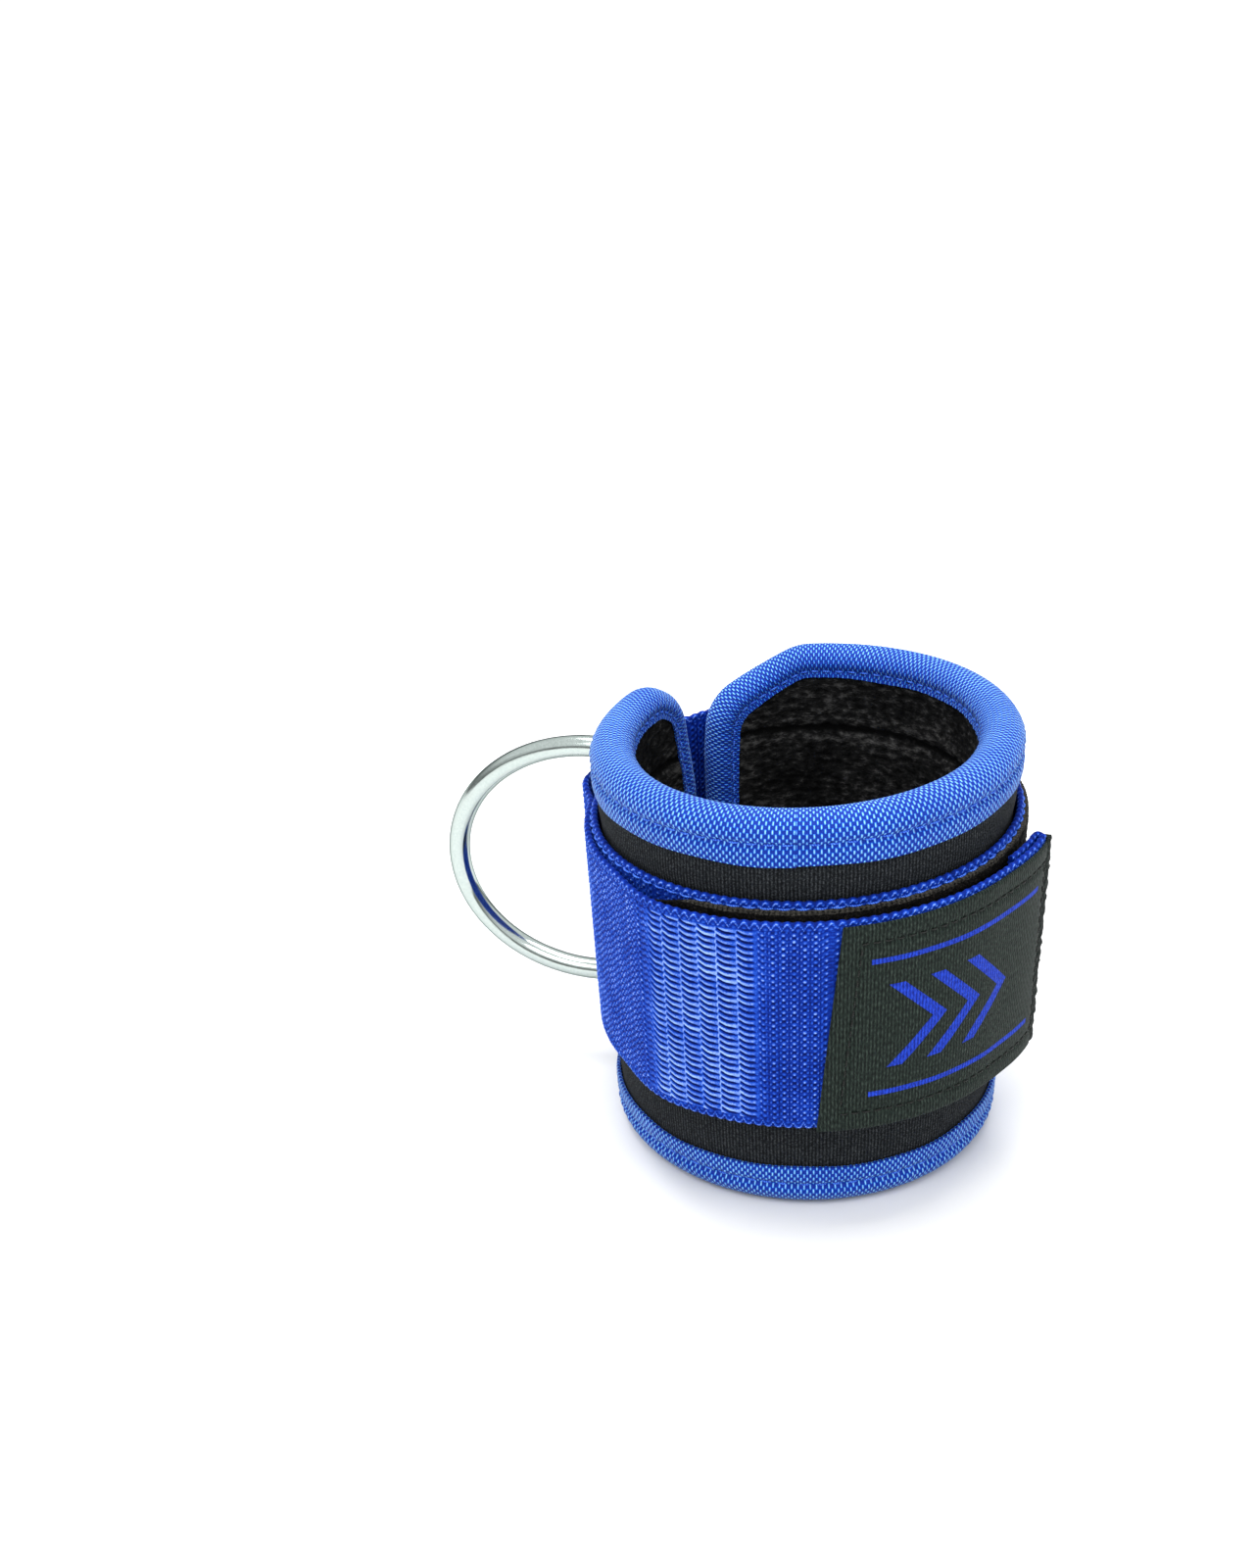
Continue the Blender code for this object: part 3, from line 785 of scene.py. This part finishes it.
def loop_material():
    """Loop tape: black fuzz between two brown woven edges."""
    n = Nodes("loop_pile")
    along, across = n.flat()
    hair, clump = n.noise(0.35, 3.0), n.noise(1.1, 2.0)
    fuzz = n.ramp(hair + (clump - 0.5) * 0.5,
                  (0.32, (4, 4, 4)), (0.58, (18, 17, 16)), (0.90, (60, 56, 52)))
    edge = n.ramp(hair + along.wave(0.9) * 0.10, (0.30, (9, 9, 8)), (0.80, (82, 79, 73)))
    from_edge = LOOP_WIDTH / 2 - abs(across - WEBBING_HEIGHTS[0][1])
    on_edge = clump * 0.8 + from_edge < 1.1
    normal = n.bump(hair, 0.3, below=n.bump(clump, 0.5))
    return n.finish(n.mix(on_edge, fuzz, edge), 0.9, normal, shine=0.06)


LABEL_END_STRIP = 3.0           # width of the turned and pressed strip at the label's right end
EMBLEM_MIDDLE = (0.52, 0.5)     # share of the label's length and height
CHEVRON_PITCH = 9.0
CHEVRON_WIDTH = 3.4
CHEVRON_HALF = 10.0
RULE_HALF = 23.0                # half length of the rules above and below the chevrons
RULE_RISE = 16.0
RULE_WIDTH = 1.2


def label_material(length, height):
    """Dark woven label with a plain device in blue thread: three chevrons between two rules."""
    n = Nodes("woven_label")
    along, across = n.flat()
    x = along - length * EMBLEM_MIDDLE[0]
    rise = abs(across - height * EMBLEM_MIDDLE[1])
    lean = x + rise + (1.5 * CHEVRON_PITCH - 0.42 * CHEVRON_HALF)
    stripe = lean.math("MODULO", CHEVRON_PITCH) < CHEVRON_WIDTH
    inside = (rise < CHEVRON_HALF) * (lean > 0.0) * (lean < 3 * CHEVRON_PITCH)
    rule = (abs(x) < RULE_HALF) * (abs(rise - RULE_RISE) < RULE_WIDTH / 2)
    mask = (stripe * inside).at_least(rule)
    warp, twill = along.wave(0.75), (along + across * 0.6).wave(0.5236)
    tone = warp * 0.13 + n.flat_noise(0.35, 1.0) - (along > length - LABEL_END_STRIP) * 0.16
    ground = n.ramp(tone, (0.30, (9, 15, 13)), (0.55, (27, 36, 32)), (0.85, (58, 69, 62)))
    device = n.ramp(tone, (0.3, (10, 28, 118)), (0.8, (36, 72, 204)))
    normal = n.bump(twill * 0.3 + mask * 0.8 + warp * 0.4, 0.10)
    return n.finish(n.mix(mask, ground, device), 0.6, normal, shine=0.08)


def thread_material(name, low, high):
    """Twisted sewing thread between two colours."""
    n = Nodes(name)
    along, across = n.flat()
    twist = (along * 14.0 + across * 6.0).math("SINE")
    colour = n.ramp(twist * 0.25 + n.noise(0.5, 1.0), (0.2, low), (0.8, high))
    return n.finish(colour, 0.5, n.bump(twist, 0.06), shine=0.3)


def foam_material():
    n = Nodes("closed_cell_foam")
    cells = n.noise(0.8, 2.0)
    colour = n.ramp(cells, (0.3, (46, 46, 48)), (0.8, (74, 74, 76)))
    return n.finish(colour, 0.9, n.bump(cells, 0.3), shine=0.2)


def hook_material():
    """Hook tape: rows of tiny bristles on a woven backing."""
    n = Nodes("hook_bristles")
    along, across = n.flat()
    bristles = abs(along.wave(2.6)) * abs(across.wave(2.2))
    colour = n.ramp(bristles, (0.2, (7, 7, 8)), (0.9, (36, 35, 35)))
    return n.finish(colour, 0.6, n.bump(bristles, 0.6), shine=0.25)


def steel_material():
    """Nickel-plated wire: bright, with faint drawing lines and small smears."""
    n = Nodes("plated_steel")
    smear = n.noise(4.0, 3.0)
    colour = n.ramp(n.noise(0.5, 2.0), (0.3, (176, 186, 182)), (0.8, (190, 199, 195)))
    normal = n.bump(n.flat()[1].wave(0.6981) * 0.2 + smear, 0.02)
    return n.finish(colour, smear * 0.12 + 0.09, normal, Metallic=1.0,
                    Specular_Tint=(0.10, 0.12, 0.12, 1.0))


# ---- the pad

def pad_bend():
    """The two bodies of the pad and the points that its bend starts and ends at."""
    ends = (PAD_BEND[0] + BEND_MARGIN, PAD_BEND[1] - BEND_MARGIN)
    return "front_half", "back_half", *(wrap(angle, RIM_HEIGHT / 2, 0.0) for angle in ends)


def lengths(first, last):
    """Name, plan angles, body and bend of the three lengths of a layer that goes round the pad."""
    return (("front", (first, PAD_BEND[0]), "front_half", None),
            ("bend", PAD_BEND, None, pad_bend()),
            ("back", (PAD_BEND[1], last), "back_half", None))


def stands_for(node, part):
    """The CAD node that a length replaces. The bend's length is extra and replaces none."""
    return [] if part == "bend" else [f"{node}_{part}"]


def even(offset):
    return lambda angle, height: np.full_like(height, offset)


def pile(angle, height):
    """The lining's inner face: soft tufts, with two rows of quilting that press them flat."""
    flat = on_flat(angle, height)
    long = flat * np.array([0.45, 1.0, 1.0])
    tufts = rough(long, 1.1) * 0.30 + rough(flat + 3.0, 5.5) * 0.30
    rows = sum(np.exp(-((height - row) / 1.0) ** 2) for row in QUILTING)
    puckers = 0.8 + 0.2 * np.sin(unrolled(angle) * 2 * math.pi / 4.0)
    return LINING[0] - 0.15 - tufts * (1 - 0.8 * rows) + 0.9 * rows * puckers


def swell(angle, height):
    """The jersey's outer face, slightly full between the webbing and the bound edge."""
    low = smoothstep(8.0, 17.0, height) * (1 - smoothstep(22.0, 28.0, height))
    high = smoothstep(76.0, 80.0, height) * (1 - smoothstep(82.0, 88.0, height))
    return JERSEY[1] - 0.25 + 0.35 * (low + high) + 0.12 * rough(on_flat(angle, height), 9.0)


def stretched_sheet(span, limits):
    """Works out the flat size and area of the cut of a piece of cloth stretched over the pad, but
    returns nothing.
    """
    low, high = limits(samples(*span, 0.5))
    length = float(unrolled(span[1] - span[0])) * MM
    height = float(np.max(high - low)) * MM
    area = float(np.mean(high - low)) * MM * length


def make_pad(materials):
    skins = (("foam", FOAM_INSET, even(FOAM[1]), even(FOAM[0]), (4.0, 6.0), "foam", "foam_core"),
             ("jersey", SKIN_INSET, swell, even(JERSEY[0]), (1.4, 1.2), "jersey", "outer_jersey"),
             ("lining", LINING_INSET, even(LINING[1]), pile, (0.6, 0.6), "plush", "plush_lining"))
    for name, inset, outer, inner, steps, slot, node in skins:
        limits = pad_limits(inset)
        margin = math.degrees(inset / FLAT_RADIUS)
        for part, span, body, bend in lengths(FRONT_END + margin, BACK_END - margin):
            piece = layer(f"{name}_{part}", span, limits, outer, inner, steps)
            place(piece, materials[slot], body, bend, stands_for(node, part))
            if name == "foam":
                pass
            else:
                stretched_sheet(span, limits)
    make_binding(materials)


def make_binding(materials):
    edge = Edge()
    top = [edge.distance_at(angle, True) for angle in PAD_BEND]
    low = [edge.distance_at(angle, False) for angle in PAD_BEND]
    runs = (("front", (top[0] - edge.total, low[0]), "front_half", None, ["edge_binding_front"]),
            ("bend_low", (low[0], low[1]), None, pad_bend(), []),
            ("back", (low[1], top[1]), "back_half", None, ["edge_binding_back"]),
            ("bend_top", (top[1], top[0]), None, pad_bend(), []))
    for part, span, body, bend, nodes in runs:
        tape = binding(f"binding_{part}", edge, span)
        place(tape, materials["binding"], body, bend, nodes)
        for side, (line, deep) in GROOVES.items():
            sign = 1 if side == "outer" else -1
            floor = BINDING_ROLL + BINDING_TAPE / 2 - deep + 0.2
            threads = stitch_run(f"binding_{part}_{side}_stitches",
                                 lambda s, out: edge.place(s, line, sign * (floor + out)),
                                 span[0] + 0.5, span[1], BINDING_STITCH)
            place(threads, materials["thread"], body, bend)


# ---- the webbing and what is sewn to it

def make_webbing(path, materials):
    """The whole length of webbing. Each piece starts where the one before it ends.

    A piece has a name, its end, its steps, its body or bend, and the nodes that it replaces.
    """
    cut = path.length_at
    fine, coarse = (0.22, 0.25), (0.38, 0.40)       # steps across and along

    def bend(first, second, zone):
        return first, second, *(path.place(cut(angle), STRAP_MIDDLE, 0.0) for angle in zone)

    pieces = (
        ("sewn_front", cut(PAD_BEND[0]), coarse, "front_half", None, ["sewn_webbing_front"]),
        ("sewn_bend", cut(PAD_BEND[1]), coarse, None, pad_bend(), []),
        ("sewn_back", cut(LOOP_SPAN[1] - 2), coarse, "back_half", None, ["sewn_webbing_back"]),
        ("sewn_end", cut(ROOT_BEND[0]), coarse, "back_half", None, []),
        ("root_bend", cut(ROOT_BEND[1]), coarse, None,
         bend("back_half", "strap_root", ROOT_BEND), []),
        ("root", cut(MIDDLE_BEND[0]), fine, "strap_root", None, ["strap_root"]),
        ("middle_bend", cut(MIDDLE_BEND[1]), fine, None,
         bend("strap_root", "strap_middle", MIDDLE_BEND), []),
        ("middle", cut(TIP_BEND[0]), fine, "strap_middle", None, ["strap_middle"]),
        ("tip_bend", cut(TIP_BEND[1]), fine, None, bend("strap_middle", "strap_tip", TIP_BEND), []),
        ("tip", path.length[-1], coarse, "strap_tip", None, ["strap_tip", "strap_end_hem"]),
    )
    start = 0.0
    for part, end, steps, body, zone, nodes in pieces:
        piece = ribbon(f"webbing_{part}", path, (start, end), *steps)
        place(piece, materials["webbing"], body, zone, nodes)
        start = end


def loop_limits(angle):
    """Edges of the loop tape, whose upper corner is tucked behind the strap where it starts."""
    tuck = LOOP_TUCK[0] * (1 - smoothstep(LOOP_SPAN[0], LOOP_SPAN[0] + LOOP_TUCK[1], angle))
    low, high = level_limits(WEBBING_HEIGHTS[0][1], LOOP_WIDTH)(angle)
    return low, high - tuck


def make_tapes(materials):
    """Loop tape on the webbing round the pad, and hook tape inside the strap's tip."""
    def loops(angle, height):
        flat = on_flat(angle, height)
        fuzz = 0.22 * rough(flat, 1.3) + 0.12 * rough(flat + 2.0, 0.6)
        edge = LOOP_WIDTH / 2 - np.abs(height - webbing_middle(angle))
        beads = 0.08 * np.cos(2 * math.pi * unrolled(angle) / 0.9)
        return LOOP_TAPE[1] - 0.15 + np.where(edge > 0.8, fuzz, beads + 0.5 * fuzz - 0.15)

    for part, span, body, bend in lengths(*LOOP_SPAN):
        tape = layer(f"loop_tape_{part}_pile", span, loop_limits, loops, even(LOOP_TAPE[0]),
                     (0.5, 0.45))
        place(tape, materials["loops"], body, bend, stands_for("loop_tape", part))
    tape = layer("hook_tape_face", HOOK_SPAN, level_limits(STRAP_MIDDLE, HOOK_WIDTH),
                 even(HOOK_TAPE[1]), even(HOOK_TAPE[0]), (1.0, 1.0))
    place(tape, materials["hooks"], "strap_tip", None, ["hook_tape"])


def label_ends(height):
    """Plan angles of the label's slanting left end and frayed right end, at heights."""
    share = (height - LABEL_MIDDLE) / LABEL_HEIGHT + 0.5
    left = LABEL_LEFT[0] + (LABEL_LEFT[1] - LABEL_LEFT[0]) * share
    flat = in_plane(height, 0.0)
    return left, LABEL_RIGHT + 0.55 * rough(flat, 1.5) + 0.35 * rough(flat + 5.0, 0.8)


def make_label(path, materials):
    height = samples(LABEL_MIDDLE - LABEL_HEIGHT / 2, LABEL_MIDDLE + LABEL_HEIGHT / 2, 0.5)
    left, right = label_ends(height)
    share = samples(0, 1, 0.5 / 52)
    ends = [path.length_at(angle) for angle in (left, right)]
    along = ends[0] + (ends[1] - ends[0]) * share[:, None]
    up = np.broadcast_to(height, along.shape)
    from_end = np.minimum(along - ends[0], ends[1] - along)
    from_edge = np.minimum(up - height[0], height[-1] - up)
    inset = np.minimum(from_end, from_edge)
    seam = np.exp(-((inset - LABEL_STITCH_INSET) / 0.7) ** 2) * 0.35
    flat = in_plane(along, up)
    from_right = ends[1] - along
    crimp = 0.5 * smoothstep(LABEL_END_STRIP, 0.3, from_right) * rough(flat, 1.2)
    crease = 0.5 * np.exp(-((from_right - LABEL_END_STRIP) / 0.5) ** 2)
    rim = 0.30 * np.exp(-(inset / 0.35) ** 2)
    out = 1.55 - seam + 0.12 * rough(flat, 8.0) - rim + crimp - crease
    lip = smoothstep(1.4, 0.8, from_right) * LABEL_LIP
    face = path.place(along, up, out)
    back = path.place(along, up, 0.85 - lip)[:, ::-1]
    across = np.concatenate([up, up[:, ::-1], up[:, :1]], axis=1) - height[0]
    start = path.length_at(LABEL_LEFT[0])
    along = np.concatenate([along, along[:, ::-1], along[:, :1]], axis=1) - start
    points = np.concatenate([face, back], axis=1)
    piece = swept("label_cloth", points, np.stack([along, across], axis=-1))
    place(piece, materials["label"], "strap_tip", None, ["label_patch"])


def make_ring(materials):
    """Round wire bent to a straight bar, two legs and a half-round bow."""
    low, high = (wrap(RING_ANGLE, STRAP_MIDDLE + rise, RING_OFFSET) for rise in (-25, 25))
    centre, upright = Vector((low + high) / 2), Vector(high - low).normalized()
    turn = math.radians(RING_ANGLE)
    outward = Vector((math.cos(turn), math.sin(turn), 0))
    outward = (outward - upright * outward.dot(upright)).normalized()
    outward = Matrix.Rotation(math.radians(RING_TURN), 3, upright) @ outward
    half = RING_HEIGHT / 2
    bow = [(RING_LEG + RING_BOW * math.sin(t) - RING_SKEW * half * math.cos(t), half * math.cos(t))
           for t in np.linspace(0, math.pi, 121)]
    bend = [math.pi / 2 * i / 12 for i in range(13)]
    r = RING_CORNER
    lower = [(r - r * math.sin(t), -half + r - r * math.cos(t)) for t in bend]
    upper = [(r - r * math.cos(t), half - r + r * math.sin(t)) for t in bend]
    bar = [(0.0, y) for y in np.linspace(-half + r, half - r, 40)[1:-1]]
    line = np.array(bow + lower + bar + upper)
    ahead = unit(np.roll(line, -1, axis=0) - np.roll(line, 1, axis=0))
    aside = np.stack([-ahead[:, 1], ahead[:, 0]], axis=-1)
    basis = np.array([outward, upright])
    normal = np.array(outward.cross(upright))
    angle = np.linspace(0, 2 * math.pi, 33)[:-1]
    ring = (np.cos(angle)[None, :, None] * (aside @ basis)[:, None]
            + np.sin(angle)[None, :, None] * normal)
    spine = np.array(centre + upright * RING_LIFT * MM) + line @ basis * MM
    points = spine[:, None] + ring * RING_WIRE / 2 * MM
    uv = uv_grid(running_length(*line.T), np.linspace(0, math.pi * RING_WIRE, 33))
    piece = swept("ring_wire", points, uv, closed=True)
    place(piece, materials["steel"], "d_ring", None, ["d_ring"])


def make_stitches(path, materials):
    """The webbing's two rows, the box at the strap's root and the label's seam."""
    cut = path.length_at
    over = WEBBING_HALF + 0.12
    for row, side in (("upper", 1), ("lower", -1)):
        rise = side * (WEBBING_WIDTH / 2 - ROW_INSET)
        for part, span, body, bend in lengths(WEBBING_START + 1, BACK_END - 3):
            def row_place(s, out):
                return path.place(s, webbing_middle(path.at("angle", s)) + rise, over + out)

            nodes = stands_for(f"{row}_stitch_row", part)
            piece = stitch_run(f"{row}_stitches_{part}", row_place, cut(span[0]), cut(span[1]),
                               ROW_STITCH)
            place(piece, materials["thread"], body, bend, nodes)
    first, last, tall = BOX_SEAM
    box = seam_loop(path, cut(first), cut(last), webbing_middle((first + last) / 2), tall)
    piece = stitch_run("root_box_stitches", lambda s, out: box(s, over + out), 0, box.total,
                       BOX_STITCH)
    place(piece, materials["thread"], "back_half", None, ["strap_root_stitching"])
    path = label_path()
    left = path.length_at(sum(LABEL_LEFT) / 2) + LABEL_STITCH_INSET
    right = path.length_at(LABEL_RIGHT) - LABEL_STITCH_INSET
    slant = path.length_at(LABEL_LEFT[1]) - path.length_at(LABEL_LEFT[0])
    seam = seam_loop(path, left, right, LABEL_MIDDLE, LABEL_HEIGHT - 2 * LABEL_STITCH_INSET, slant)
    piece = stitch_run("label_stitches", lambda s, out: seam(s, 1.28 + out), 0, seam.total,
                       LABEL_STITCH)
    place(piece, materials["label_thread"], "strap_tip", None, ["label_stitching"])


def seam_loop(path, left, right, middle, tall, slant=0.0):
    """A four-sided seam on a ribbon, as a function of the distance round it, with its total."""
    low, high = middle - tall / 2, middle + tall / 2
    lean = slant * tall / LABEL_HEIGHT / 2
    corners = np.array([(left - lean, low), (right, low), (right, high), (left + lean, high),
                        (left - lean, low)])
    run = running_length(*corners.T)

    def at(distance, out):
        return path.place(np.interp(distance, run, corners[:, 0]),
                          np.interp(distance, run, corners[:, 1]), out)

    at.total = run[-1]
    return at


# ---- camera, floor and light

CAMERA_PLACE = (17.817, -440.005, 290.2)    # millimetres
CAMERA_YAW = 5.26                       # degrees to the left of +Y
CAMERA_PITCH = 25.30                    # degrees down
CAMERA_ROLL = -2.05
CAMERA_LENS = 51.05


def make_camera():
    data = bpy.data.cameras.new("camera")
    data.lens = CAMERA_LENS
    data.clip_start = 0.01
    camera = bpy.data.objects.new("camera", data)
    stand = Matrix.Translation(Vector(CAMERA_PLACE) * MM)
    for degrees, axis in ((CAMERA_YAW, "Z"), (90 - CAMERA_PITCH, "X"), (CAMERA_ROLL, "Z")):
        stand = stand @ Matrix.Rotation(math.radians(degrees), 4, axis)
    camera.matrix_world = stand
    bpy.context.collection.objects.link(camera)
    bpy.context.scene.camera = camera


def make_floor():
    bpy.ops.mesh.primitive_plane_add(size=40, location=(0, 0, -0.0002))
    floor = bpy.context.object
    floor.name = "floor"
    n = Nodes("floor_paper")
    colour = n.ramp(n.noise(60.0, 2.0), (0.0, (217.85,) * 3), (1.0, (221.94,) * 3))
    floor.data.materials.append(n.finish(colour, 0.8))


def area_light(name, place_at, size, power):
    """A rectangular lamp that aims at the middle of the cuff."""
    data = bpy.data.lights.new(name, "AREA")
    data.shape = "RECTANGLE"
    data.size, data.size_y = size
    data.energy = power
    lamp = bpy.data.objects.new(name, data)
    lamp.location = place_at
    aim = Vector((0.01, 0.0, 0.05)) - lamp.location
    lamp.rotation_euler = aim.to_track_quat("-Z", "Y").to_euler()
    bpy.context.collection.objects.link(lamp)


def make_sky():
    """A soft studio: white overhead, darker round the horizon, which the bright wire mirrors."""
    world = bpy.data.worlds.new("studio")
    world.use_nodes = True
    tree = world.node_tree
    where = tree.nodes.new("ShaderNodeTexCoord")
    split = tree.nodes.new("ShaderNodeSeparateXYZ")
    ramp = tree.nodes.new("ShaderNodeValToRGB")
    stops = ((0.0, 0.22), (0.12, 0.30), (0.42, 1.10), (1.0, 1.10))
    set_stops(ramp, [(height, (light * 0.97, light * 0.99, light)) for height, light in stops])
    tree.links.new(where.outputs["Generated"], split.inputs[0])
    tree.links.new(split.outputs["Z"], ramp.inputs[0])
    tree.links.new(ramp.outputs[0], tree.nodes["Background"].inputs[0])
    tree.nodes["Background"].inputs[1].default_value = 1.0
    bpy.context.scene.world = world


def make_lights():
    make_sky()
    bpy.context.scene.view_settings.view_transform = "Standard"
    area_light("key", (-0.9, -1.9, 2.4), (1.8, 1.5), 50.0)
    area_light("right", (2.1, -1.1, 1.4), (1.2, 1.7), 20.0)
    area_light("top", (-0.1, 0.5, 2.6), (1.8, 1.5), 86.0)


# ---- everything together

def main():
    materials = {
        "binding": binding_material(),
        "webbing": webbing_material(),
        "foam": foam_material(),
        "jersey": jersey_material(),
        "plush": plush_material(),
        "loops": loop_material(),
        "hooks": hook_material(),
        "thread": thread_material("blue_thread", (20, 60, 190), (80, 140, 250)),
        "label_thread": thread_material("dark_thread", (4, 5, 4), (24, 28, 24)),
        "steel": steel_material(),
    }
    make_camera()
    make_floor()
    make_lights()
    path = webbing_path()
    make_pad(materials)
    make_webbing(path, materials)
    make_tapes(materials)
    label_line = label_path()
    width = float(label_line.length_at(LABEL_RIGHT) - label_line.length_at(LABEL_LEFT[0]))
    materials["label"] = label_material(width, LABEL_HEIGHT)
    make_label(label_line, materials)
    make_stitches(path, materials)
    make_ring(materials)


main()
